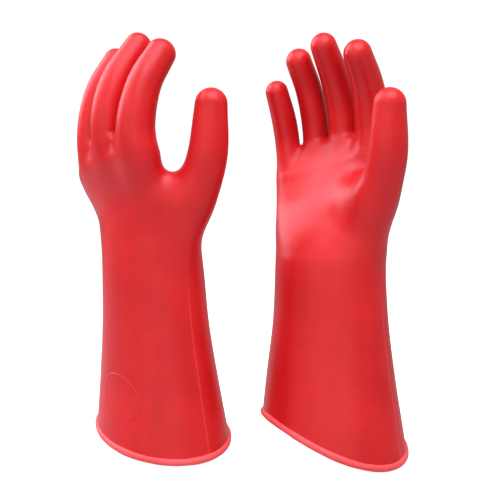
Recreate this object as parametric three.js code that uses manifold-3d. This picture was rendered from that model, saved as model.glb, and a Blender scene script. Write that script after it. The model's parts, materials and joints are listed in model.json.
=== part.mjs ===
// A pair of rubber insulating gloves, left and right: hollow seamless skins with a cupped hand,
// a flared gauntlet, a slanted cuff and a rolled bead at its edge.
//
// Each glove is laid out in a hand frame, in millimetres: x towards the thumb side, y towards the
// back of the hand, z up the forearm to the fingertips, with z = 0 near the cuff's edge. The left
// glove is the right one mirrored in x. The pair stands fingers up, side by side along X.
import * as THREE from "three";
import Module from "manifold-3d";

const wasm = await Module();
wasm.setup();

// Driving dimensions.
const WALL = 2;
const JOINT_GAP = 0.4;
const BEAD_RADIUS = 2.8;
const GLOVE_OFFSET = 74;
const BASE_LIFT = 19.4;
const RIGHT_TURN = THREE.MathUtils.degToRad(-34);
const LEFT_TURN = THREE.MathUtils.degToRad(129.5);

// Sections of the arm and hand, from the cuff to the knuckles: the middle of each section and
// its half-widths from thumb side to little-finger side and from palm to back.
const HAND = [
  { z: -30, x: 7.5, y: -10, wide: 65, deep: 53 },
  { z: 0, x: 6, y: -8.5, wide: 61, deep: 49.5 },
  { z: 45, x: 3.5, y: -7, wide: 55, deep: 44 },
  { z: 90, x: 2, y: -5, wide: 49, deep: 40 },
  { z: 134, x: 0.5, y: -3.5, wide: 46.5, deep: 38 },
  { z: 165, x: -2, y: -1, wide: 49, deep: 36 },
  { z: 195, x: -10.5, y: 10, wide: 51, deep: 24 },
  { z: 220, x: -15.5, y: 22, wide: 48, deep: 15 },
  { z: 234, x: -16, y: 27, wide: 43, deep: 10 },
];

// The skin between the fingers ends at KNUCKLE_TOP beside the index finger, and falls away
// towards the little finger by KNUCKLE_TILT. The fall grows from TILT_START upwards.
const KNUCKLE_TOP = 243;
const KNUCKLE_TILT = 0.19;
const KNUCKLE_X = 7;
const TILT_START = 165;

// The hand's skin is laid out in four quarters: the palm and the back meet along its sides, and
// each is divided again below the knuckles. SIDE_LINE is the first line, as x and y across the
// hand at SIDE_LEVEL, and moves towards the back by SIDE_LEAN for each millimetre up, as the
// cupped hand does. KNUCKLE_LINE is the second, as x and z, and rises past the web to leave the
// thumb below it.
const SIDE_LINE = [[-150, -1], [14, -1], [58, -25], [150, -25]];
const SIDE_LEVEL = 165;
const SIDE_LEAN = 0.35;
const KNUCKLE_LINE = [[-150, 188], [2, 196], [22, 224], [150, 224]];
const REACH = 150;

// The bend at the wrist, and how far its flexible band reaches up and down from it.
const WRIST_LEVEL = 124;
const WRIST_BAND = 14;

// Cuff edge: cut on a slant that dips towards the thumb side, in degrees from it towards the
// back of the hand. The gloves are trimmed by hand, so the two cuts differ, and the right one
// waves up and down twice on its way round.
const RIM = { wide: 61, deep: 49 };
const RIM_CUT = {
  right: { slope: 0.24, towards: -5, level: 2.5, wave: 5, waveAt: 65 },
  left: { slope: 0.26, towards: 34, level: 2.5, wave: 0, waveAt: 0 },
};

// The oval label patch on the left cuff: where its middle is, its half-sizes, and its tilt.
const LABEL = { angle: 83, z: 34.5, across: 22, tall: 16.7, tilt: 32, lift: 0.5, thick: 0.8 };

// Digits: points along the middle of each stall, from inside the hand to the centre of the
// round tip, with the half-width there. flat is depth over width. root and band are distances
// along the stall: where the flexible band at its root starts, and how long the band is.
const DIGITS = [
  {
    name: "thumb", flat: 1, root: 80, band: 17,
    points: [[24, -3, 144], [49, -12, 192], [57.5, -14.5, 227], [61, -17, 265.5]],
    radii: [20, 17, 16, 12.8],
  },
  {
    name: "index_finger", flat: 1.1, root: 55, band: 16,
    points: [[21, 12, 196], [23, 25, 224], [22, 27, 251], [21.5, 18.5, 281], [21.5, 2, 305.5]],
    radii: [12, 13.5, 14, 12.8, 11.2],
  },
  {
    name: "middle_finger", flat: 1.05, root: 59, band: 15,
    points: [[-8, 14, 192], [-8, 30, 222], [-8, 33, 253], [-9.5, 23, 284], [-9.5, 2, 312.5]],
    radii: [11, 11.5, 11.4, 11, 10],
  },
  {
    name: "ring_finger", flat: 1.08, root: 57, band: 15,
    points: [[-31, 14, 190], [-32.5, 30, 218], [-34.5, 31, 246], [-35.5, 22.5, 276], [-35.5, 5.5, 301]],
    radii: [10.5, 11, 10.2, 10, 9.8],
  },
  {
    name: "little_finger", flat: 1.08, root: 54, band: 14,
    points: [[-49, 8, 188], [-53, 21, 210], [-55.5, 21.5, 236], [-56.5, 15.5, 256], [-57, 6, 276.5]],
    radii: [9, 10, 9.8, 9.5, 8.9],
  },
];

// The web of skin between the thumb and the index finger.
const WEB = {
  flat: 1,
  points: [[8, 10, 192], [28, 2, 202], [47, -10, 204]],
  radii: [12, 10, 11],
};

// Facets.
const AROUND_HAND = 36;
const PALM_LEVELS = [152, 170, 188, 204, 220, 234];
const KNUCKLE_CAP = { wide: 0.8, deep: 0.6 };
const OVERCUT = 4;
const AROUND_DIGIT = 14;
const AROUND_BEAD = 8;
const AROUND_LABEL = 24;
const ALONG_GAUNTLET = 4;
const ALONG_BAND = 2;
const ALONG_STUB = 3;
const ALONG_STALL = 4;
const TIP_RINGS = 3;

// How finely levels and lengths are searched, and the small step that gives a path its direction.
const SEARCH_STEPS = 40;
const PATH_STEPS = 90;
const NUDGE = 0.01;

const RUBBER = { color: 0xe22d30, roughness: 0.42, metalness: 0 };
const BEAD_RUBBER = { color: 0xf0585a, roughness: 0.45, metalness: 0 };

// Smooth interpolation through equally ranked values (Catmull-Rom), with s from 0 to count - 1.
function through(values, s) {
  const last = values.length - 1;
  const i = Math.min(Math.floor(Math.max(s, 0)), last - 1);
  const t = s - i;
  const at = (k) => {
    if (k < 0) return 2 * values[0] - values[1];
    if (k > last) return 2 * values[last] - values[last - 1];
    return values[k];
  };
  const [a, b, c, d] = [at(i - 1), at(i), at(i + 1), at(i + 2)];
  const quadratic = 2 * a - 5 * b + 4 * c - d;
  const cubic = -a + 3 * b - 3 * c + d;
  return 0.5 * (2 * b + (c - a) * t + quadratic * t * t + cubic * t * t * t);
}

function handSection(z) {
  const levels = HAND.map((section) => section.z);
  let low = 0;
  let high = levels.length - 1;
  for (let step = 0; step < SEARCH_STEPS; step += 1) {
    const middle = (low + high) / 2;
    if (through(levels, middle) < z) low = middle;
    else high = middle;
  }
  const pick = (key) => through(HAND.map((section) => section[key]), low);
  return { x: pick("x"), y: pick("y"), wide: pick("wide"), deep: pick("deep") };
}

// A point of the hand's skin at a level and angle, drawn in from the outside by inset.
function handRingPoint(z, angle, inset) {
  const section = handSection(z);
  return new THREE.Vector3(
    section.x + (section.wide - inset) * Math.cos(angle),
    section.y + (section.deep - inset) * Math.sin(angle),
    z,
  );
}

// A ring of such points. levelAt gives the level at each angle, so that a ring may follow the
// slanted cuff.
function handRing(levelAt, inset) {
  const ring = [];
  for (let k = 0; k < AROUND_HAND; k += 1) {
    const angle = (2 * Math.PI * k) / AROUND_HAND;
    ring.push(handRingPoint(levelAt(angle), angle, inset));
  }
  return ring;
}

function rimLevel(side, angle) {
  const cut = RIM_CUT[side];
  const towards = THREE.MathUtils.degToRad(cut.towards);
  const along = RIM.wide * Math.cos(angle) * Math.cos(towards)
    + RIM.deep * Math.sin(angle) * Math.sin(towards);
  const wave = cut.wave * Math.cos(2 * (angle - THREE.MathUtils.degToRad(cut.waveAt)));
  return cut.level - cut.slope * along + wave;
}

// The path of a stall: position, half-width and direction at a distance from its first point.
function stallPath(digit) {
  const at = (s) => new THREE.Vector3(...[0, 1, 2].map(
    (axis) => through(digit.points.map((point) => point[axis]), s),
  ));
  const marks = [{ s: 0, length: 0 }];
  for (let k = 1; k <= PATH_STEPS; k += 1) {
    const s = ((digit.points.length - 1) * k) / PATH_STEPS;
    const length = marks[k - 1].length + at(s).distanceTo(at(marks[k - 1].s));
    marks.push({ s, length });
  }
  const total = marks[PATH_STEPS].length;
  const frame = (length) => {
    const k = Math.max(1, marks.findIndex((mark) => mark.length >= Math.min(length, total)));
    const [before, after] = [marks[k - 1], marks[k]];
    const part = (Math.min(length, total) - before.length) / (after.length - before.length);
    const s = before.s + part * (after.s - before.s);
    const centre = at(s);
    const ahead = at(s + NUDGE).sub(at(s - NUDGE)).normalize();
    const side = new THREE.Vector3(1, 0, 0).addScaledVector(ahead, -ahead.x).normalize();
    const back = new THREE.Vector3().crossVectors(ahead, side);
    return { centre, ahead, side, back, radius: through(digit.radii, s) };
  };
  return { total, frame };
}

function stallRing(digit, path, length, inset, shrink = 1, forward = 0) {
  const { centre, ahead, side, back, radius } = path.frame(length);
  const width = (radius - inset) * shrink;
  const depth = (radius * digit.flat - inset) * shrink;
  const ring = [];
  for (let k = 0; k < AROUND_DIGIT; k += 1) {
    const angle = (2 * Math.PI * k) / AROUND_DIGIT;
    ring.push(centre.clone()
      .addScaledVector(side, width * Math.cos(angle))
      .addScaledVector(back, depth * Math.sin(angle))
      .addScaledVector(ahead, forward));
  }
  return ring;
}

// Rings from one distance along a stall to another, or on to the tip when to is left out.
function stallRings(digit, path, inset, count, from, to) {
  const rings = [];
  const end = to ?? path.total;
  for (let k = 0; k <= count; k += 1) {
    rings.push(stallRing(digit, path, from + ((end - from) * k) / count, inset));
  }
  if (to !== undefined) return rings;
  const tip = path.frame(path.total);
  const reach = tip.radius - inset;
  for (let k = 1; k < TIP_RINGS; k += 1) {
    const turn = (Math.PI / 2) * (k / TIP_RINGS);
    rings.push(stallRing(digit, path, path.total, inset, Math.cos(turn), reach * Math.sin(turn)));
  }
  rings.push([tip.centre.clone().addScaledVector(tip.ahead, reach)]);
  return rings;
}

// A closed solid from rings of points. A ring of one point closes an end to a tip, closed joins
// the last ring back to the first, and otherwise each end is closed by a fan about its middle.
function loft(rings, closed = false) {
  const around = Math.max(...rings.map((ring) => ring.length));
  const positions = rings.flat().flatMap((point) => point.toArray());
  const starts = [];
  let total = 0;
  for (const ring of rings) {
    starts.push(total);
    total += ring.length;
  }
  const corner = (r, k) => starts[r] + (rings[r].length === 1 ? 0 : k % around);
  const index = [];
  const bridges = closed ? rings.length : rings.length - 1;
  for (let r = 0; r < bridges; r += 1) {
    const next = (r + 1) % rings.length;
    for (let k = 0; k < around; k += 1) {
      const [a, b, c, d] = [corner(r, k), corner(r, k + 1), corner(next, k + 1), corner(next, k)];
      if (a !== b) index.push(a, b, c);
      if (c !== d) index.push(a, c, d);
    }
  }
  if (!closed) {
    for (const r of [0, rings.length - 1]) {
      if (rings[r].length === 1) continue;
      const middle = rings[r].reduce((sum, point) => sum.add(point), new THREE.Vector3());
      positions.push(...middle.divideScalar(around).toArray());
      for (let k = 0; k < around; k += 1) {
        if (r === 0) index.push(total, corner(r, k + 1), corner(r, k));
        else index.push(total, corner(r, k), corner(r, k + 1));
      }
      total += 1;
    }
  }
  return { positions, index };
}

// A hollow skin: the outside rings, then the inside rings back again, joined at the edges.
function shell(outside, inside) {
  return loft([...outside, ...inside.slice().reverse()], true);
}

function toGeometry({ positions, index }) {
  const geometry = new THREE.BufferGeometry();
  geometry.setAttribute("position", new THREE.Float32BufferAttribute(positions, 3));
  geometry.setIndex(index);
  return geometry;
}

function toSolid({ positions, index }) {
  return new wasm.Manifold(new wasm.Mesh({
    numProp: 3,
    vertProperties: new Float32Array(positions),
    triVerts: new Uint32Array(index),
  }));
}

function fromSolid(solid) {
  const mesh = solid.getMesh();
  return { positions: Array.from(mesh.vertProperties), index: Array.from(mesh.triVerts) };
}

function bead(side) {
  const rings = [];
  for (let k = 0; k < AROUND_HAND; k += 1) {
    const angle = (2 * Math.PI * k) / AROUND_HAND;
    const middle = handRing((turn) => rimLevel(side, turn), WALL / 2)[k];
    const outward = new THREE.Vector3(
      Math.cos(angle) / RIM.wide,
      Math.sin(angle) / RIM.deep,
      0,
    ).normalize();
    const ring = [];
    for (let j = 0; j < AROUND_BEAD; j += 1) {
      const turn = (2 * Math.PI * j) / AROUND_BEAD;
      ring.push(middle.clone()
        .addScaledVector(outward, BEAD_RADIUS * Math.cos(turn))
        .add(new THREE.Vector3(0, 0, -BEAD_RADIUS * Math.sin(turn))));
    }
    rings.push(ring);
  }
  return loft(rings, true);
}

// Part of the arm between two levels, each given at every angle.
function handBand(count, lowAt, highAt) {
  const rings = (inset) => {
    const list = [];
    for (let k = 0; k <= count; k += 1) {
      const part = k / count;
      list.push(handRing((angle) => lowAt(angle) * (1 - part) + highAt(angle) * part, inset));
    }
    return list;
  };
  return shell(rings(0), rings(WALL));
}

// A prism on one side of a line that runs towards larger x: towards is 1 for what lies beyond the
// line and -1 for what lies before it. The prism starts half a joint's gap from the line.
function sideOf(line, towards) {
  const edge = line.map(([x, y]) => [x, y + (towards * JOINT_GAP) / 2]);
  const far = (towards > 0 ? 3 : 0) * REACH;
  const outline = [...edge, [REACH, far], [-REACH, far]];
  return new wasm.CrossSection([outline], "EvenOdd").extrude(2 * REACH);
}

// What lies towards the back (1) or the palm (-1), from the wrist up.
function sideHalf(towards) {
  const line = SIDE_LINE.map(([x, y]) => [x, y + REACH]);
  return sideOf(line, towards).warp((point) => {
    point[2] += WRIST_LEVEL;
    point[1] += SIDE_LEAN * (point[2] - SIDE_LEVEL) - REACH;
  });
}

// What lies above (1) or below (-1) the knuckle line.
function knuckleHalf(towards) {
  return sideOf(KNUCKLE_LINE, towards).rotate([90, 0, 0]).translate([0, REACH, 0]);
}

// The hand from the wrist to the digit roots: its own skin joined with the web and with a stub
// for each digit, hollowed by the same shapes drawn in by the wall, in four quarters.
function hand() {
  const bottom = WRIST_LEVEL + WRIST_BAND + JOINT_GAP / 2;
  const top = HAND[HAND.length - 1];
  const tilt = (point) => {
    const rise = Math.max(0, (point.z - TILT_START) / (KNUCKLE_TOP - TILT_START));
    point.z += KNUCKLE_TILT * (point.x - KNUCKLE_X) * rise;
    return point;
  };
  const body = (inset) => {
    const rings = PALM_LEVELS.map((z) => handRing(() => z, inset));
    rings.unshift(handRing(() => bottom - (inset > 0 ? OVERCUT : 0), inset));
    rings.push(handRing(() => top.z, inset).map((point) => new THREE.Vector3(
      top.x + (point.x - top.x) * KNUCKLE_CAP.wide,
      top.y + (point.y - top.y) * KNUCKLE_CAP.deep,
      KNUCKLE_TOP - inset,
    )));
    return toSolid(loft(rings.map((ring) => ring.map(tilt))));
  };
  const stub = (digit, inset) => {
    const end = digit.root - JOINT_GAP / 2 + (inset > 0 ? OVERCUT : 0);
    return toSolid(loft(stallRings(digit, stallPath(digit), inset, ALONG_STUB, 0, end)));
  };
  const web = (inset) => {
    const path = stallPath(WEB);
    return toSolid(loft(stallRings(WEB, path, inset, ALONG_BAND, 0, path.total)));
  };
  const whole = (inset) => DIGITS.reduce(
    (solid, digit) => solid.add(stub(digit, inset)),
    body(inset).add(web(inset)),
  );
  const skin = whole(0).subtract(whole(WALL));
  const quarter = (across, up) => fromSolid(
    skin.intersect(sideHalf(across)).intersect(knuckleHalf(up)),
  );
  return {
    palm: quarter(-1, -1),
    finger_pads: quarter(-1, 1),
    hand_back: quarter(1, -1),
    knuckles: quarter(1, 1),
  };
}

function digitRoot(digit) {
  const path = stallPath(digit);
  const [from, to] = [digit.root + JOINT_GAP / 2, digit.root + digit.band - JOINT_GAP / 2];
  const rings = (inset) => stallRings(digit, path, inset, ALONG_BAND, from, to);
  return shell(rings(0), rings(WALL));
}

function digitStall(digit) {
  const path = stallPath(digit);
  const from = digit.root + digit.band + JOINT_GAP / 2;
  const rings = (inset) => stallRings(digit, path, inset, ALONG_STALL, from);
  return shell(rings(0), rings(WALL));
}

// The label patch follows the curve of the cuff a little way off it.
function labelPatch() {
  const angle = THREE.MathUtils.degToRad(LABEL.angle);
  const tilt = THREE.MathUtils.degToRad(LABEL.tilt);
  const section = handSection(LABEL.z);
  const point = (part, turn, lift) => {
    const u = part * LABEL.across * Math.cos(turn);
    const v = part * LABEL.tall * Math.sin(turn);
    const across = u * Math.cos(tilt) - v * Math.sin(tilt);
    const up = u * Math.sin(tilt) + v * Math.cos(tilt);
    const girth = (section.wide + section.deep) / 2;
    return handRingPoint(LABEL.z + up, angle + across / girth, -lift);
  };
  const ring = (part, lift) => {
    const points = [];
    for (let k = 0; k < AROUND_LABEL; k += 1) {
      points.push(point(part, (2 * Math.PI * k) / AROUND_LABEL, lift));
    }
    return points;
  };
  const parts = [1 / 3, 2 / 3, 1];
  const [low, high] = [LABEL.lift, LABEL.lift + LABEL.thick];
  const rings = [
    [point(0, 0, low)],
    ...parts.map((part) => ring(part, low)),
    ...parts.map((part) => ring(part, high)).reverse(),
    [point(0, 0, high)],
  ];
  return loft(rings, true);
}

// Left-hand pieces are mirrored in x, which turns their faces over, so each triangle is
// reversed.
function mirrored({ positions, index }) {
  const flipped = positions.map((value, k) => (k % 3 === 0 ? -value : value));
  const reversed = [];
  for (let k = 0; k < index.length; k += 3) reversed.push(index[k], index[k + 2], index[k + 1]);
  return { positions: flipped, index: reversed };
}

function glove(side) {
  const pieces = {
    cuff_bead: bead(side),
    gauntlet: handBand(
      ALONG_GAUNTLET,
      (angle) => rimLevel(side, angle) + BEAD_RADIUS + JOINT_GAP,
      () => WRIST_LEVEL - WRIST_BAND - JOINT_GAP / 2,
    ),
    wrist: handBand(
      ALONG_BAND,
      () => WRIST_LEVEL - WRIST_BAND + JOINT_GAP / 2,
      () => WRIST_LEVEL + WRIST_BAND - JOINT_GAP / 2,
    ),
    ...hand(),
  };
  for (const digit of DIGITS) {
    pieces[`${digit.name}_root`] = digitRoot(digit);
    pieces[digit.name] = digitStall(digit);
  }
  if (side === "left") pieces.label_patch = labelPatch();
  const group = new THREE.Group();
  for (const [name, shape] of Object.entries(pieces)) {
    const finish = name === "cuff_bead" ? BEAD_RUBBER : RUBBER;
    const mesh = new THREE.Mesh(
      toGeometry(side === "left" ? mirrored(shape) : shape),
      new THREE.MeshStandardMaterial(finish),
    );
    mesh.name = `${side}_${name}`;
    group.add(mesh);
  }
  group.rotation.z = side === "left" ? LEFT_TURN : RIGHT_TURN;
  group.position.set(side === "left" ? -GLOVE_OFFSET : GLOVE_OFFSET, 0, BASE_LIFT);
  return group;
}

const pair = new THREE.Group();
pair.add(glove("left"), glove("right"));

export default pair;
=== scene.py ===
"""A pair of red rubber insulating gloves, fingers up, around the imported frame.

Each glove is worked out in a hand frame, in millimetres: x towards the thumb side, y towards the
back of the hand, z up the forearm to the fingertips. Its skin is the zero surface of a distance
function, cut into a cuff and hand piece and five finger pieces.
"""

import json
import math

import bpy
import numpy as np
import openvdb
from mathutils import Matrix, Vector


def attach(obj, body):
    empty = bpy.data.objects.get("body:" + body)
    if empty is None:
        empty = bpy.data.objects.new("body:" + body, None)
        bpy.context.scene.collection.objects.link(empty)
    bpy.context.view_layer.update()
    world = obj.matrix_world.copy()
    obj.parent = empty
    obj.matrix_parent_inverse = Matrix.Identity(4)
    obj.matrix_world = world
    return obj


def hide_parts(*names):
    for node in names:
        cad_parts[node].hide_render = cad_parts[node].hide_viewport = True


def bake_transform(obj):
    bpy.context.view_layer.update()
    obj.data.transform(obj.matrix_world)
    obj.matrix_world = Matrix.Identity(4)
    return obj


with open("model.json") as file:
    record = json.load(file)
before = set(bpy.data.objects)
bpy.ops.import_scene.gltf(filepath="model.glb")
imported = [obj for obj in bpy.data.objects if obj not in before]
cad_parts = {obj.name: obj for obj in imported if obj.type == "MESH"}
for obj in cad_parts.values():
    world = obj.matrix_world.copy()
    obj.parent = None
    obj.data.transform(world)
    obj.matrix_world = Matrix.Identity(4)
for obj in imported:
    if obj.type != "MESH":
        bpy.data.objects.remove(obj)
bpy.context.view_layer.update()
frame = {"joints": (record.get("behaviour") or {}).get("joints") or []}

# A millimetre, in the metres of the frame.
MM = 0.001

# Driving dimensions, in millimetres.
WALL = 2.0
BEAD_RADIUS = 2.9
WRIST_LEVEL = 124.0

# The skin's distance grid: size of a voxel, corners of the box, which is longer than any cuff,
# how many levels are worked out at once, voxels kept each side of the skin, and how many times
# its points are evened out.
VOXEL = 1.8
SKIN_LOW = (-84.0, -78.0, -44.0)
SKIN_HIGH = (92.0, 62.0, 330.0)
SLAB = 16
BAND = 3
RELAX_ROUNDS = 4

# Sections of the arm and hand: level, middle x and y, half-width and half-depth.
HAND = [
    (-40, 8, -10.5, 66.5, 54),
    (0, 6, -8.5, 61, 49.5),
    (45, 3.5, -7, 55, 44),
    (90, 2, -5, 49, 40),
    (134, 0.5, -3.5, 46.5, 38),
    (150, -0.6, -1.3, 46.4, 35.5),
    (165, -3, 2.5, 46.6, 31),
    (180, -6.2, 7.5, 46, 25.5),
    (195, -9.3, 13.5, 45.6, 21.2),
    (210, -11.7, 19.4, 45.8, 17.6),
    (225, -12.6, 25.2, 47, 14),
    (240, -13.5, 29.9, 45.8, 11.1),
    (256, -13.5, 33, 44.5, 9),
]

# The hand ends at KNUCKLE_TOP, rounded over KNUCKLE_ROUND. The slant turns about KNUCKLE_X.
KNUCKLE_TOP = 241.5
KNUCKLE_X = 7.0
KNUCKLE_ROUND = 5.0

# Slant of the sections across the hand, low on the little finger's side, at some levels: most in
# the palm's hollow, less at the knuckles.
SLANT = [(105, 0), (128, 0.004), (150, 0.025), (170, 0.1), (192, 0.24), (212, 0.26), (240, 0.19)]

# How far the little finger's side of the hand comes forward of its middle, at some levels. It
# grows outwards, up to ARCH_LIMIT half-widths from the middle.
ARCH = [(125, 0), (140, 0.3), (155, 1.8), (172, 4.6), (188, 6.7), (200, 7)]
ARCH_LIMIT = 1.3

# How square the sections are: 2 is an oval, and above the palm they are boxier.
SQUARENESS = ((195, 225), (2.0, 2.5))

# Digits: points along each stall to the centre of its tip, half-widths there, depth over width,
# the distance along the stall at which its own skin piece starts, and the length that bends.
DIGITS = {
    "thumb": {
        "points": [(22, -3, 138), (46.6, -11.2, 187), (58.2, -15.3, 225), (61, -17, 265.5)],
        "radii": [12, 14.4, 15.7, 12.8],
        "flat": 1.0,
        "root": 80,
        "bend": 24,
    },
    "index_finger": {
        "points": [
            (21, 16, 196),
            (23, 25, 224),
            (22, 27, 251),
            (21.5, 18.5, 281),
            (21.5, 2, 305.5),
        ],
        "radii": [6, 14.3, 14.4, 12.8, 11.2],
        "flat": 1.1,
        "root": 54,
        "bend": 22,
    },
    "middle_finger": {
        "points": [
            (-8, 14, 192),
            (-8, 29.5, 222),
            (-8.8, 33, 253),
            (-10.2, 23, 284),
            (-9.8, 2, 312.5),
        ],
        "radii": [6, 12.2, 12.7, 12.1, 10.5],
        "flat": 1.05,
        "root": 58,
        "bend": 20,
    },
    "ring_finger": {
        "points": [
            (-31, 14, 190),
            (-32.5, 29, 218),
            (-34.5, 31, 246),
            (-35.5, 22.5, 276),
            (-35.5, 5.5, 301),
        ],
        "radii": [6, 11, 10.9, 10.7, 10.2],
        "flat": 1.08,
        "root": 56,
        "bend": 20,
    },
    "little_finger": {
        "points": [
            (-42, 9, 184),
            (-50.2, 16, 210),
            (-55, 19.3, 236),
            (-55.7, 14, 256),
            (-57, 6, 276.5),
        ],
        "radii": [5, 9.4, 10.0, 9.9, 9.1],
        "flat": 1.08,
        "root": 54.5,
        "bend": 19,
    },
}
DIGIT_NAMES = list(DIGITS)

# The web between the thumb and the palm, a short tube like a digit's.
WEB = {"points": [(8, 14, 179), (27, 2, 188.5), (39, -7, 192)], "radii": [7, 17.5, 14], "flat": 1.0}

# Further than TUBE_REACH outside a tube, its distance is TUBE_FAR, which changes no shape.
TUBE_REACH = 24.0
TUBE_FAR = 30.0

# How softly the shapes run into each other. The fingers part crisply above the knuckles, and run
# together below them, over KNUCKLE_FADE of level.
FINGER_BLEND = 2.0
BACK_BLEND = 20.0
KNUCKLE_FADE = 22.0
CROTCH_BLEND = 5.0
HAND_BLEND = 12.0
THUMB_BLEND = 19.0
WEB_BLEND = 18.0

# The frame's pieces that the skin of the cuff and hand stands for.
CUFF_AND_HAND = ("gauntlet", "wrist", "palm", "finger_pads", "hand_back", "knuckles")

# Cuff edge, as in the frame: slope, degrees towards the back of the hand, level and wave.
RIM = {"wide": 61.0, "deep": 49.0}
RIM_CUT = {
    "right": {"slope": 0.24, "towards": -5, "level": 2.5, "wave": 5.0, "wave_at": 65},
    "left": {"slope": 0.26, "towards": 34, "level": 2.5, "wave": 0.0, "wave_at": 0},
}

# The rolled bead is a little uneven: waves round the cuff, their shift and their part of its
# radius.
BEAD_WAVES = ((5, 1, 0.03), (11, 0, 0.025), (23, 2, 0.015))

# Mould line down the thumb side of the cuff: its distance towards the back of the hand at level 0
# and for each millimetre up, its half-width, the levels between which it fades out, its colour
# and the strength of that. The line is raised, and its lighter colour is a painted highlight along
# it.
MOULD_LINE_AND_HIGHLIGHT = {
    "start": -8.5,
    "lean": 0.0375,
    "half": 1.1,
    "fade": (105.0, 135.0),
    "color": (0.85, 0.07, 0.07),
    "strength": 0.6,
}

# Oval label patch on the left cuff: where it is, its half-sizes and its tilt. Its relief is a
# raised line near its edge, on a field that ends at the edge and is sunk a little into the cuff.
# Places in the relief are parts of the way from the middle to the edge.
LABEL = {"angle": 83, "z": 34.5, "across": 22, "tall": 16.7, "tilt": 32}
LABEL_LINE = {"at": 0.93, "half": 0.022, "height": 0.28}
LABEL_FIELD = {"end": 0.975, "soft": 0.008, "height": 0.1}
LABEL_SUNK = 0.02
LABEL_BACK = -0.8


def catmull(values, count):
    """Points along a smooth curve through the given rows, evenly ranked."""
    rows = np.array(values, float)
    rows = np.vstack([2 * rows[0] - rows[1], rows, 2 * rows[-1] - rows[-2]])
    spans = len(rows) - 3
    s = np.linspace(0, spans, count)
    i = np.minimum(s.astype(int), spans - 1)
    t = (s - i)[:, None]
    a, b, c, d = (rows[i + k] for k in range(4))
    quadratic = 2 * a - 5 * b + 4 * c - d
    cubic = -a + 3 * b - 3 * c + d
    return 0.5 * (2 * b + (c - a) * t + quadratic * t**2 + cubic * t**3)


HAND_CURVE = catmull(HAND, 400)
SLANT_CURVE = catmull(SLANT, 300)
ARCH_CURVE = catmull(ARCH, 300)


def hand_section(z):
    """Middle x and y, half-width and half-depth at each level."""
    return [np.interp(z, HAND_CURVE[:, 0], HAND_CURVE[:, k]) for k in range(1, 5)]


def smooth_min(a, b, k):
    """The smaller of two distances, rounded over a width k where they are close."""
    h = np.clip(0.5 + 0.5 * (b - a) / k, 0, 1)
    return b * (1 - h) + a * h - k * h * (1 - h)


def knuckle_level(p):
    """Levels measured along the slant of the palm and knuckles."""
    return p[:, 2] - np.interp(p[:, 2], *SLANT_CURVE.T) * (p[:, 0] - KNUCKLE_X)


def hand_distance(p):
    """Distance to the arm and palm: an arched oval section that changes with the level, rounded
    off at the knuckles."""
    level = knuckle_level(p)
    cx, cy, wide, deep = hand_section(level)
    square = np.interp(level, *SQUARENESS)
    across = np.clip((p[:, 0] - cx) / wide, -ARCH_LIMIT, 0)
    arch = np.interp(level, *ARCH_CURVE.T)
    over = (p[:, 1] - cy + arch * across**2) / deep
    u, v = np.abs(p[:, 0] - cx) / wide, np.abs(over)
    size = np.maximum(u**square + v**square, 1e-9) ** (1 / square)
    lift = v ** (square - 1) / deep * np.sign(over)
    turn = u ** (square - 1) / wide * np.sign(p[:, 0] - cx) + lift * 2 * arch * across / wide
    steep = np.hypot(turn, lift) * size ** (1 - square)
    side = (size - 1) / np.maximum(steep, 1e-4)
    return -smooth_min(-side, -(level - KNUCKLE_TOP), KNUCKLE_ROUND)


class Tube:
    """A round-ended tube along a curve, with a changing half-width."""

    def __init__(self, spec, count=40):
        rows = [tuple(point) + (radius,) for point, radius in zip(spec["points"], spec["radii"])]
        curve = catmull(rows, count)
        self.centre = curve[:, :3]
        self.radius = curve[:, 3]
        self.flat = spec["flat"]
        steps = np.linalg.norm(np.diff(self.centre, axis=0), axis=1)
        self.length = np.concatenate([[0], np.cumsum(steps)])

    def nearest(self, p):
        """Distance to the tube, and distance along it of the nearest point of its curve."""
        best = np.full(len(p), 1e9)
        along = np.zeros(len(p))
        for k in range(len(self.centre) - 1):
            a, b = self.centre[k], self.centre[k + 1]
            axis = b - a
            t = np.clip((p - a) @ axis / (axis @ axis), 0, 1)
            off = p - a - t[:, None] * axis
            ahead = axis / np.linalg.norm(axis)
            side = np.array([1.0, 0, 0]) - ahead[0] * ahead
            back = np.cross(ahead, side / np.linalg.norm(side))
            over = off @ back
            shrink = 1 - 1 / self.flat**2
            reach = np.sqrt(np.maximum((off**2).sum(1) - shrink * over**2, 0))
            radius = self.radius[k] + t * (self.radius[k + 1] - self.radius[k])
            d = reach - radius
            closer = d < best
            best[closer] = d[closer]
            along[closer] = (self.length[k] + t * (self.length[k + 1] - self.length[k]))[closer]
        return best, along

    def distance(self, p):
        """Distance to the tube near it, and TUBE_FAR anywhere else."""
        margin = self.radius.max() + TUBE_REACH
        low, high = self.centre.min(0) - margin, self.centre.max(0) + margin
        near = ((p > low) & (p < high)).all(1)
        d = np.full(len(p), TUBE_FAR)
        if near.any():
            d[near] = self.nearest(p[near])[0]
        return d

    def point(self, length):
        """Point at a distance along the curve."""
        return np.array([np.interp(length, self.length, self.centre[:, k]) for k in range(3)])

    def at(self, length, step=1.0):
        """Point and direction at a distance along the curve."""
        axis = self.point(length + step) - self.point(length - step)
        return self.point(length), axis / np.linalg.norm(axis)


TUBES = {name: Tube(spec) for name, spec in DIGITS.items()}
WEB_TUBE = Tube(WEB, 16)


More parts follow.
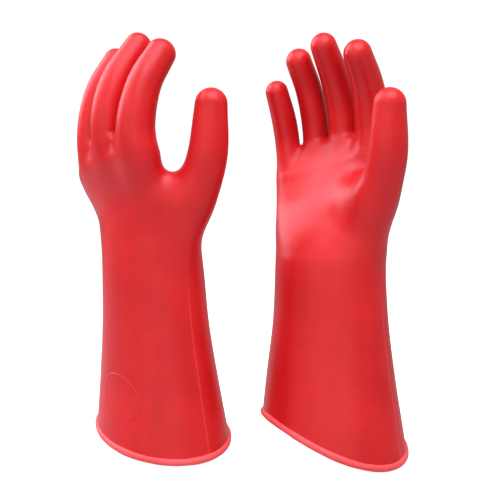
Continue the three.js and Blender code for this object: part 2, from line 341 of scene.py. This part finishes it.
def glove_distance(p):
    """Distance to the whole glove's outer skin, negative inside it."""
    below = np.clip((KNUCKLE_TOP - knuckle_level(p)) / KNUCKLE_FADE, 0, 1)
    below = below**2 * (3 - 2 * below)
    finger_blend = FINGER_BLEND + (BACK_BLEND - FINGER_BLEND) * below
    hand_blend = CROTCH_BLEND + (HAND_BLEND - CROTCH_BLEND) * below
    fingers = None
    for name, tube in TUBES.items():
        if name == "thumb":
            continue
        d = tube.distance(p)
        fingers = d if fingers is None else smooth_min(fingers, d, finger_blend)
    hand = smooth_min(hand_distance(p), fingers, hand_blend)
    hand = smooth_min(hand, WEB_TUBE.distance(p), WEB_BLEND)
    return smooth_min(hand, TUBES["thumb"].distance(p), THUMB_BLEND)


def gradient(p, step=0.4):
    """How the distance changes along each axis."""
    g = np.zeros_like(p)
    for axis in range(3):
        shift = np.zeros(3)
        shift[axis] = step
        g[:, axis] = (glove_distance(p + shift) - glove_distance(p - shift)) / (2 * step)
    return g


def onto_skin(p, rounds=2):
    """Moves points onto the skin, and returns them with the skin's outward direction there."""
    for _ in range(rounds):
        g = gradient(p)
        p = p - glove_distance(p)[:, None] * g / np.maximum((g**2).sum(1), 0.2)[:, None]
    g = gradient(p)
    return p, g / np.linalg.norm(g, axis=1)[:, None]


def glove_skin():
    """The whole skin, longer than any cuff, as points, four-cornered faces and directions."""
    low = np.array(SKIN_LOW)
    counts = np.ceil((np.array(SKIN_HIGH) - low) / VOXEL).astype(int)
    axes = [low[k] + VOXEL * np.arange(counts[k]) for k in range(3)]
    field = np.empty(counts, np.float32)
    plane = np.stack(np.meshgrid(axes[0], axes[1], indexing="ij"), -1).reshape(-1, 2)
    for start in range(0, counts[2], SLAB):
        levels = axes[2][start : start + SLAB]
        p = np.column_stack([np.repeat(plane, len(levels), 0), np.tile(levels, len(plane))])
        field[:, :, start : start + SLAB] = glove_distance(p).reshape(counts[0], counts[1], -1)
    limit = BAND * VOXEL
    grid = openvdb.FloatGrid(limit)
    grid.copyFromArray(np.clip(field, -limit, limit))
    points, quads = grid.convertToQuads(0.0)
    points = np.array(points, float) * VOXEL + low
    quads = np.array(quads, int)
    inside = (points[:, 2] > low[2] + 2 * VOXEL)[quads].all(1)
    quads = quads[inside]
    for _ in range(RELAX_ROUNDS):
        points = relax(points, quads)
    points, out = onto_skin(points, 3)
    a, b, c = (points[quads[:, k]] for k in range(3))
    facing = (np.cross(b - a, c - a) * out[quads[:, 0]]).sum(1)
    if np.median(facing) < 0:
        quads = quads[:, ::-1]
    return points, quads, out


def relax(points, quads):
    """Moves each point half way to the middle of its neighbours, then back onto the skin."""
    total = np.zeros_like(points)
    count = np.zeros(len(points))
    for k in range(4):
        a, b = quads[:, k], quads[:, (k + 1) % 4]
        for one, other in ((a, b), (b, a)):
            np.add.at(total, one, points[other])
            np.add.at(count, one, 1)
    used = count > 0
    middle = points.copy()
    middle[used] = total[used] / count[used][:, None]
    return onto_skin(0.5 * points + 0.5 * middle, 1)[0]


def rim_level(side, angle):
    """Level of the cuff's edge, at an angle round the cuff."""
    cut = RIM_CUT[side]
    towards = math.radians(cut["towards"])
    along = RIM["wide"] * np.cos(angle) * math.cos(towards)
    along = along + RIM["deep"] * np.sin(angle) * math.sin(towards)
    wave = cut["wave"] * np.cos(2 * (angle - math.radians(cut["wave_at"])))
    return cut["level"] - cut["slope"] * along + wave


def skin_angle(p):
    """Angle of points round the oval section at their level."""
    cx, cy, wide, deep = hand_section(p[:, 2])
    return np.arctan2((p[:, 1] - cy) / deep, (p[:, 0] - cx) / wide)


def skin_point(angle, z, out=0.0):
    """Point on the cuff's skin, or a distance out from it."""
    cx, cy, wide, deep = hand_section(z)
    x = cx + (wide + out) * np.cos(angle)
    y = cy + (deep + out) * np.sin(angle)
    return np.stack([x, y, z + 0 * angle], -1)


def placement(side):
    """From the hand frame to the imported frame, by the turn and place of the glove's wrist joint."""
    wrist = next(j for j in frame["joints"] if j["name"] == f"{side}_wrist_bend")
    turn = math.atan2(wrist["axis"][1], wrist["axis"][0])
    mirror = -1.0 if side == "left" else 1.0
    cx, cy, _, _ = hand_section(WRIST_LEVEL)
    scale = Matrix.Scale(MM, 4)
    flip = Matrix.Diagonal((mirror, 1, 1, 1))
    spin = Matrix.Rotation(turn, 4, "Z") @ flip @ scale
    move = Matrix.Translation(Vector(wrist["pos_m"]) - spin @ Vector((cx, cy, WRIST_LEVEL)))
    return move @ spin


def placed(points, matrix):
    """Points of the hand frame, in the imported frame."""
    m = np.array(matrix)
    return points @ m[:3, :3].T + m[:3, 3]


def new_object(name, points, faces, hand_points, normals=None, flip=False):
    """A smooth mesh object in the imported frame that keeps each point's place in the hand frame."""
    mesh = bpy.data.meshes.new(name)
    if flip:
        faces = [tuple(reversed(face)) for face in faces]
    mesh.from_pydata([tuple(p) for p in points], [], [tuple(int(v) for v in f) for f in faces])
    mesh.polygons.foreach_set("use_smooth", np.ones(len(mesh.polygons), bool))
    place = mesh.attributes.new("hand_place", "FLOAT_VECTOR", "POINT")
    place.data.foreach_set("vector", (hand_points * MM).astype(np.float32).ravel())
    mesh.update()
    if normals is not None:
        mesh.normals_split_custom_set_from_vertices([tuple(n) for n in normals])
    obj = bpy.data.objects.new(name, mesh)
    bpy.context.scene.collection.objects.link(obj)
    return obj


def closed_shell(points, out, faces):
    """Points, directions and faces of a closed wall: the outer faces, inner faces WALL further
    in, and a band round each open edge."""
    used = np.unique(faces)
    index = np.full(len(points), -1)
    index[used] = np.arange(len(used))
    faces = index[faces]
    outer, direction = points[used], out[used]
    count = len(used)
    shell_points = np.vstack([outer, outer - WALL * direction])
    normals = np.vstack([direction, -direction])
    inner = faces[:, ::-1] + count
    edges = {}
    for k in range(4):
        for a, b in zip(faces[:, k], faces[:, (k + 1) % 4]):
            if (b, a) in edges:
                del edges[(b, a)]
            else:
                edges[(a, b)] = True
    band = np.array([(b, a, a + count, b + count) for a, b in edges], int).reshape(-1, 4)
    return shell_points, normals, np.vstack([faces, inner, band])


SKIN_POINTS, SKIN_FACES, SKIN_OUT = glove_skin()


def digit_regions():
    """For each face of the skin, the number of the digit whose own piece it belongs to, or -1."""
    centre = SKIN_POINTS[SKIN_FACES].mean(1)
    reach = np.stack([TUBES[name].nearest(centre)[0] for name in DIGIT_NAMES])
    owner = reach.argmin(0)
    region = np.full(len(SKIN_FACES), -1)
    for k, name in enumerate(DIGIT_NAMES):
        mine = owner == k
        along = TUBES[name].nearest(centre[mine])[1]
        region[np.where(mine)[0][along > DIGITS[name]["root"]]] = k
    return region


REGION = digit_regions()


def tidy_seams(points):
    """Moves the points where two pieces meet onto the level at which the digit starts."""
    points = points.copy()
    for k, name in enumerate(DIGIT_NAMES):
        mine = np.unique(SKIN_FACES[REGION == k])
        rest = np.unique(SKIN_FACES[REGION != k])
        seam = np.intersect1d(mine, rest)
        _, axis = TUBES[name].at(DIGITS[name]["root"])
        for _ in range(2):
            along = TUBES[name].nearest(points[seam])[1]
            points[seam] += (DIGITS[name]["root"] - along)[:, None] * axis
            points[seam] = onto_skin(points[seam], 1)[0]
    return onto_skin(points, 1)


SKIN_POINTS, SKIN_OUT = tidy_seams(SKIN_POINTS)


def cuff_skin(side):
    """The skin of the cuff and hand, cut off at the cuff's edge."""
    points, out = SKIN_POINTS.copy(), SKIN_OUT.copy()
    faces = SKIN_FACES[REGION < 0]
    level = rim_level(side, skin_angle(points))
    keep = (points[:, 2] > level)[faces].any(1)
    faces = faces[keep]
    used = np.unique(faces)
    below = used[points[used, 2] < level[used]]
    for _ in range(3):
        points[below, 2] = rim_level(side, skin_angle(points[below]))
        on, _ = onto_skin(points[below], 1)
        points[below, :2] = on[:, :2]
    out[below] = onto_skin(points[below], 0)[1]
    return points, out, faces


def placed_directions(directions, matrix):
    """Directions of the hand frame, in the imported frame."""
    turned = directions @ np.array(matrix)[:3, :3].T
    return turned / np.linalg.norm(turned, axis=1)[:, None]


def make_skin_piece(name, side, points, out, faces, matrix):
    """A piece of skin with its wall. The left glove is mirrored, so its faces are turned over."""
    shell, normals, shell_faces = closed_shell(points, out, faces)
    normals = placed_directions(normals, matrix)
    flip = side == "left"
    return new_object(name, placed(shell, matrix), shell_faces, shell, normals, flip)


def bead(side, matrix):
    """The rolled edge of the cuff, a little uneven as a hand-rolled one is."""
    around, turns, smoothings = 200, 18, 2
    angle = np.linspace(0, 2 * math.pi, around, endpoint=False)
    centre = skin_point(angle, rim_level(side, angle), -WALL / 2)
    for _ in range(smoothings):
        centre = 0.25 * np.roll(centre, 1, 0) + 0.5 * centre + 0.25 * np.roll(centre, -1, 0)
    ahead = np.roll(centre, -1, 0) - np.roll(centre, 1, 0)
    ahead /= np.linalg.norm(ahead, axis=1)[:, None]
    outward = np.stack([np.cos(angle) / RIM["wide"], np.sin(angle) / RIM["deep"], 0 * angle], -1)
    outward -= (outward * ahead).sum(1)[:, None] * ahead
    outward /= np.linalg.norm(outward, axis=1)[:, None]
    up = np.cross(outward, ahead)
    turn = np.linspace(0, 2 * math.pi, turns, endpoint=False)[None, :, None]
    uneven = np.ones(around)
    for count, shift, part in BEAD_WAVES:
        uneven += part * np.sin(count * angle + shift)
    radius = BEAD_RADIUS * uneven[:, None, None]
    roll = np.cos(turn) * outward[:, None] + np.sin(turn) * up[:, None]
    points = centre[:, None] + radius * roll
    faces = []
    for k in range(around):
        for j in range(turns):
            n, m = (k + 1) % around, (j + 1) % turns
            faces.append((k * turns + j, n * turns + j, n * turns + m, k * turns + m))
    points = points.reshape(-1, 3)
    flip = side == "left"
    return new_object(f"{side}_rolled_bead", placed(points, matrix), faces, points, flip=flip)


def label_patch(matrix):
    """A thin oval moulded onto the left cuff, with a raised line round it."""
    rings, around = 26, 96
    middle, tilt = math.radians(LABEL["angle"]), math.radians(LABEL["tilt"])
    _, _, wide, deep = hand_section(LABEL["z"])
    turn = np.linspace(0, 2 * math.pi, around, endpoint=False)

    def ring(part, height):
        """Points round the oval, at a part of its size and a height off the cuff."""
        u = part * LABEL["across"] * np.cos(turn)
        v = part * LABEL["tall"] * np.sin(turn)
        across = u * math.cos(tilt) - v * math.sin(tilt)
        up = u * math.sin(tilt) + v * math.cos(tilt)
        return skin_point(middle + across / ((wide + deep) / 2), LABEL["z"] + up, height)

    def height(part):
        line = math.exp(-(((part - LABEL_LINE["at"]) / LABEL_LINE["half"]) ** 2))
        past_end = 1 / (1 + math.exp(-(part - LABEL_FIELD["end"]) / LABEL_FIELD["soft"]))
        field = LABEL_FIELD["height"] * (1 - past_end)
        return field + LABEL_LINE["height"] * line - LABEL_SUNK

    parts = [(k + 1) / rings for k in range(rings)]
    points = [ring(part, height(part)) for part in parts]
    points += [ring(part, LABEL_BACK) for part in reversed(parts)]
    top = ring(0.0, height(0))[:1]
    bottom = ring(0.0, LABEL_BACK)[:1]
    flat = np.vstack([top] + points + [bottom])
    faces = [(0, 1 + j, 1 + (j + 1) % around) for j in range(around)]
    for r in range(2 * rings - 1):
        for j in range(around):
            a, b = 1 + r * around + j, 1 + r * around + (j + 1) % around
            faces.append((a, a + around, b + around, b))
    last, end = 1 + (2 * rings - 1) * around, len(flat) - 1
    faces += [(end, last + (j + 1) % around, last + j) for j in range(around)]
    return new_object("left_label_oval", placed(flat, matrix), faces, flat, flip=True)


def new_material(name):
    """A material, with its nodes, its links and its shader."""
    material = bpy.data.materials.new(name)
    material.use_nodes = True
    nodes = material.node_tree.nodes
    shader = nodes["Principled BSDF"]
    return material, nodes, material.node_tree.links, shader


def rubber(name, deep_red, light_red, roughness):
    """Smooth satin rubber: soft mottling, faint flow marks down the glove, a fine grain and the
    mould line, which is raised and carries a painted highlight in a lighter colour. The patterns
    keep their places in the hand frame, in metres."""
    material, nodes, links, shader = new_material(name)
    place = nodes.new("ShaderNodeAttribute")
    place.attribute_name = "hand_place"

    def noise(scale, detail, stretch=(1, 1, 1), distortion=0.0):
        mapping = nodes.new("ShaderNodeMapping")
        mapping.inputs["Scale"].default_value = stretch
        links.new(place.outputs["Vector"], mapping.inputs["Vector"])
        texture = nodes.new("ShaderNodeTexNoise")
        texture.inputs["Scale"].default_value = scale
        texture.inputs["Detail"].default_value = detail
        texture.inputs["Distortion"].default_value = distortion
        links.new(mapping.outputs["Vector"], texture.inputs["Vector"])
        return texture.outputs["Fac"]

    def mixed(kind, *values):
        """A sum of the given kind, of numbers and of other nodes' results."""
        node = nodes.new("ShaderNodeMath")
        node.operation = kind
        for socket, value in zip(node.inputs, values):
            if isinstance(value, (int, float)):
                socket.default_value = value
            else:
                links.new(value, socket)
        return node.outputs[0]

    def added(*patterns):
        """The sum of patterns, each times its share."""
        total = 0.0
        for pattern, share in patterns:
            total = mixed("MULTIPLY_ADD", pattern, share, total)
        return total

    def ranged(value, low, high, low_out, high_out):
        """A value between low and high, stretched to run from low_out to high_out."""
        node = nodes.new("ShaderNodeMapRange")
        for socket, number in zip(list(node.inputs)[1:5], (low, high, low_out, high_out)):
            socket.default_value = number
        links.new(value, node.inputs["Value"])
        return node.outputs["Result"]

    def mould_line():
        """1 along the mould line, 0 away from it."""
        parts = nodes.new("ShaderNodeSeparateXYZ")
        links.new(place.outputs["Vector"], parts.inputs["Vector"])
        x, y, z = parts.outputs
        middle = mixed("MULTIPLY_ADD", z, MOULD_LINE_AND_HIGHLIGHT["lean"], MOULD_LINE_AND_HIGHLIGHT["start"] * MM)
        off = mixed("ABSOLUTE", mixed("SUBTRACT", y, middle))
        line = ranged(off, 0, MOULD_LINE_AND_HIGHLIGHT["half"] * MM, 1, 0)
        low, high = (level * MM for level in MOULD_LINE_AND_HIGHLIGHT["fade"])
        line = mixed("MULTIPLY", line, mixed("GREATER_THAN", x, 0))
        return mixed("MULTIPLY", line, ranged(z, low, high, 1, 0))

    mottle = noise(scale=22, detail=3, distortion=0.4)
    streaks = noise(scale=60, detail=2, stretch=(1, 1, 0.07))
    grain = noise(scale=900, detail=2)
    line = mould_line()
    tone = added((mottle, 0.6), (streaks, 0.4))
    ramp = nodes.new("ShaderNodeValToRGB")
    ramp.color_ramp.elements[0].position = 0.38
    ramp.color_ramp.elements[0].color = (*deep_red, 1)
    ramp.color_ramp.elements[1].position = 0.62
    ramp.color_ramp.elements[1].color = (*light_red, 1)
    links.new(tone, ramp.inputs["Fac"])
    # Painted highlight: the mould line is painted a lighter, pinker red over the rubber's colour.
    painted_highlight_mix = nodes.new("ShaderNodeMix")
    painted_highlight_mix.data_type = "RGBA"
    painted_highlight_mix.inputs["B"].default_value = (*MOULD_LINE_AND_HIGHLIGHT["color"], 1)
    links.new(mixed("MULTIPLY", line, MOULD_LINE_AND_HIGHLIGHT["strength"]), painted_highlight_mix.inputs["Factor"])
    links.new(ramp.outputs["Color"], painted_highlight_mix.inputs["A"])
    links.new(painted_highlight_mix.outputs["Result"], shader.inputs["Base Color"])
    shine = ranged(tone, 0.3, 0.7, roughness - 0.05, roughness + 0.06)
    links.new(shine, shader.inputs["Roughness"])
    height = added((streaks, 0.7), (grain, 0.12), (mottle, 0.8), (line, 1.2))
    relief = nodes.new("ShaderNodeBump")
    relief.inputs["Strength"].default_value = 0.12
    relief.inputs["Distance"].default_value = 1.2 * MM
    links.new(height, relief.inputs["Height"])
    links.new(relief.outputs["Normal"], shader.inputs["Normal"])
    shader.inputs["Specular IOR Level"].default_value = 0.36
    shader.inputs["Subsurface Weight"].default_value = 0.15
    shader.inputs["Subsurface Radius"].default_value = (1.0, 0.15, 0.12)
    shader.inputs["Subsurface Scale"].default_value = 0.004
    return material


GLOVE_RED = rubber("glove_rubber", (0.56, 0.008, 0.010), (0.66, 0.013, 0.015), 0.36)
# The bead's rubber is painted lighter and pinker than the glove's: painted light, for the light the
# bead catches from below.
BEAD_RED_PAINTED_LIT = rubber("bead_rubber", (0.85, 0.075, 0.075), (0.95, 0.11, 0.11), 0.42)
LABEL_RED = rubber("label_rubber", (0.57, 0.009, 0.011), (0.67, 0.014, 0.016), 0.38)


def make_glove(side):
    """One glove's skin, stalls and bead, and on the left one the label patch."""
    matrix = placement(side)
    points, out, faces = cuff_skin(side)
    skin = make_skin_piece(f"{side}_cuff_and_hand", side, points, out, faces, matrix)
    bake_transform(skin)
    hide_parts(*(f"{side}_{part}" for part in CUFF_AND_HAND))
    skin.data.materials.append(GLOVE_RED)
    for k, name in enumerate(DIGIT_NAMES):
        faces = SKIN_FACES[REGION == k]
        finger = make_skin_piece(f"{side}_{name}_stall", side, SKIN_POINTS, SKIN_OUT, faces, matrix)
        root, axis = TUBES[name].at(DIGITS[name]["root"])
        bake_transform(finger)
        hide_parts(f"{side}_{name}", f"{side}_{name}_root")
        finger.data.materials.append(GLOVE_RED)
    roll = bead(side, matrix)
    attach(roll, f"{side}_cuff")
    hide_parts(f"{side}_cuff_bead")
    roll.data.materials.append(BEAD_RED_PAINTED_LIT)
    if side == "left":
        patch = label_patch(matrix)
        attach(patch, "left_cuff")
        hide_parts("left_label_patch")
        patch.data.materials.append(LABEL_RED)


for glove_side in ("left", "right"):
    make_glove(glove_side)


# Setting, in metres: a pale floor just under the gloves, soft light and the camera. All lights
# but the front one are a little cooler than white.
FLOOR_LEVEL = -0.001
FLOOR_REACH = 6.0
WHITE = (1.0, 1.0, 1.0)
COOL = (1.0, 0.93, 1.08)

# Each light's place, the point it faces, its sizes, its power in watts and its colour.
LIGHTS = {
    "front": ((-0.7, -2.1, 0.9), (0, 0, 0.15), (3.6, 2.4), 19, WHITE),
    "top": ((0.15, -0.4, 1.2), (0, 0, 0.25), (1.0, 1.0), 14, COOL),
    "side": ((-0.65, -0.1, 1.03), (0, 0, 0.22), (0.7, 0.7), 3.2, COOL),
    "back": ((-1.0, 0.5, 0.9), (-0.1, 0, 0.25), (1.0, 1.0), 12, COOL),
}
CAMERA = {"place": (0.008, -1.1, 0.2694), "aim": (0.008, 0, 0.1679), "degrees": 20.75}


def seen_strength(nodes, links, seen, cast):
    """A strength for what is seen directly, and another for the light that it casts."""
    path = nodes.new("ShaderNodeLightPath")
    strength = nodes.new("ShaderNodeMapRange")
    strength.inputs["To Min"].default_value = cast
    strength.inputs["To Max"].default_value = seen
    links.new(path.outputs["Is Camera Ray"], strength.inputs["Value"])
    return strength.outputs["Result"]


def add_floor(seen):
    """A plain pale floor that is bright where it is seen, and no more than pale as a light."""
    mesh = bpy.data.meshes.new("floor")
    signs = [(-1, -1), (1, -1), (1, 1), (-1, 1)]
    corners = [(x * FLOOR_REACH, y * FLOOR_REACH, 0) for x, y in signs]
    mesh.from_pydata(corners, [], [(0, 1, 2, 3)])
    floor = bpy.data.objects.new("floor", mesh)
    floor.location.z = FLOOR_LEVEL
    bpy.context.scene.collection.objects.link(floor)
    material, nodes, links, shader = new_material("floor_white")
    shader.inputs["Base Color"].default_value = (0.5, 0.5, 0.5, 1)
    shader.inputs["Roughness"].default_value = 1.0
    shader.inputs["Emission Color"].default_value = (1, 1, 1, 1)
    links.new(seen_strength(nodes, links, seen, 0.0), shader.inputs["Emission Strength"])
    floor.data.materials.append(material)


def turned_to(place, aim):
    """Rotation of a light or a camera at a place that faces a point."""
    return (Vector(aim) - Vector(place)).to_track_quat("-Z", "Y").to_euler()


def add_area(name, place, aim, size, power, color):
    """A rectangular light."""
    data = bpy.data.lights.new(name, "AREA")
    data.shape = "RECTANGLE"
    data.size, data.size_y = size
    data.energy = power
    data.color = color
    light = bpy.data.objects.new(name, data)
    light.location = place
    light.rotation_euler = turned_to(place, aim)
    bpy.context.scene.collection.objects.link(light)


def add_world(seen, cast):
    """White where it is seen directly, and dimmer as a light, so that the edges stay red."""
    world = bpy.data.worlds.new("studio")
    world.use_nodes = True
    nodes, links = world.node_tree.nodes, world.node_tree.links
    background = nodes["Background"]
    background.inputs["Color"].default_value = (1, 1, 1, 1)
    links.new(seen_strength(nodes, links, seen, cast), background.inputs["Strength"])
    bpy.context.scene.world = world


def add_camera():
    """The camera, with a square picture that is CAMERA["degrees"] across."""
    data = bpy.data.cameras.new("camera")
    data.sensor_width = 36
    data.lens = data.sensor_width / 2 / math.tan(math.radians(CAMERA["degrees"] / 2))
    camera = bpy.data.objects.new("camera", data)
    camera.location = CAMERA["place"]
    camera.rotation_euler = turned_to(CAMERA["place"], CAMERA["aim"])
    bpy.context.scene.collection.objects.link(camera)
    bpy.context.scene.camera = camera


add_floor(seen=0.95)
add_world(seen=1.1, cast=0.42)
for light_name, light_values in LIGHTS.items():
    add_area(light_name, *light_values)
add_camera()
bpy.context.scene.view_settings.view_transform = "Standard"
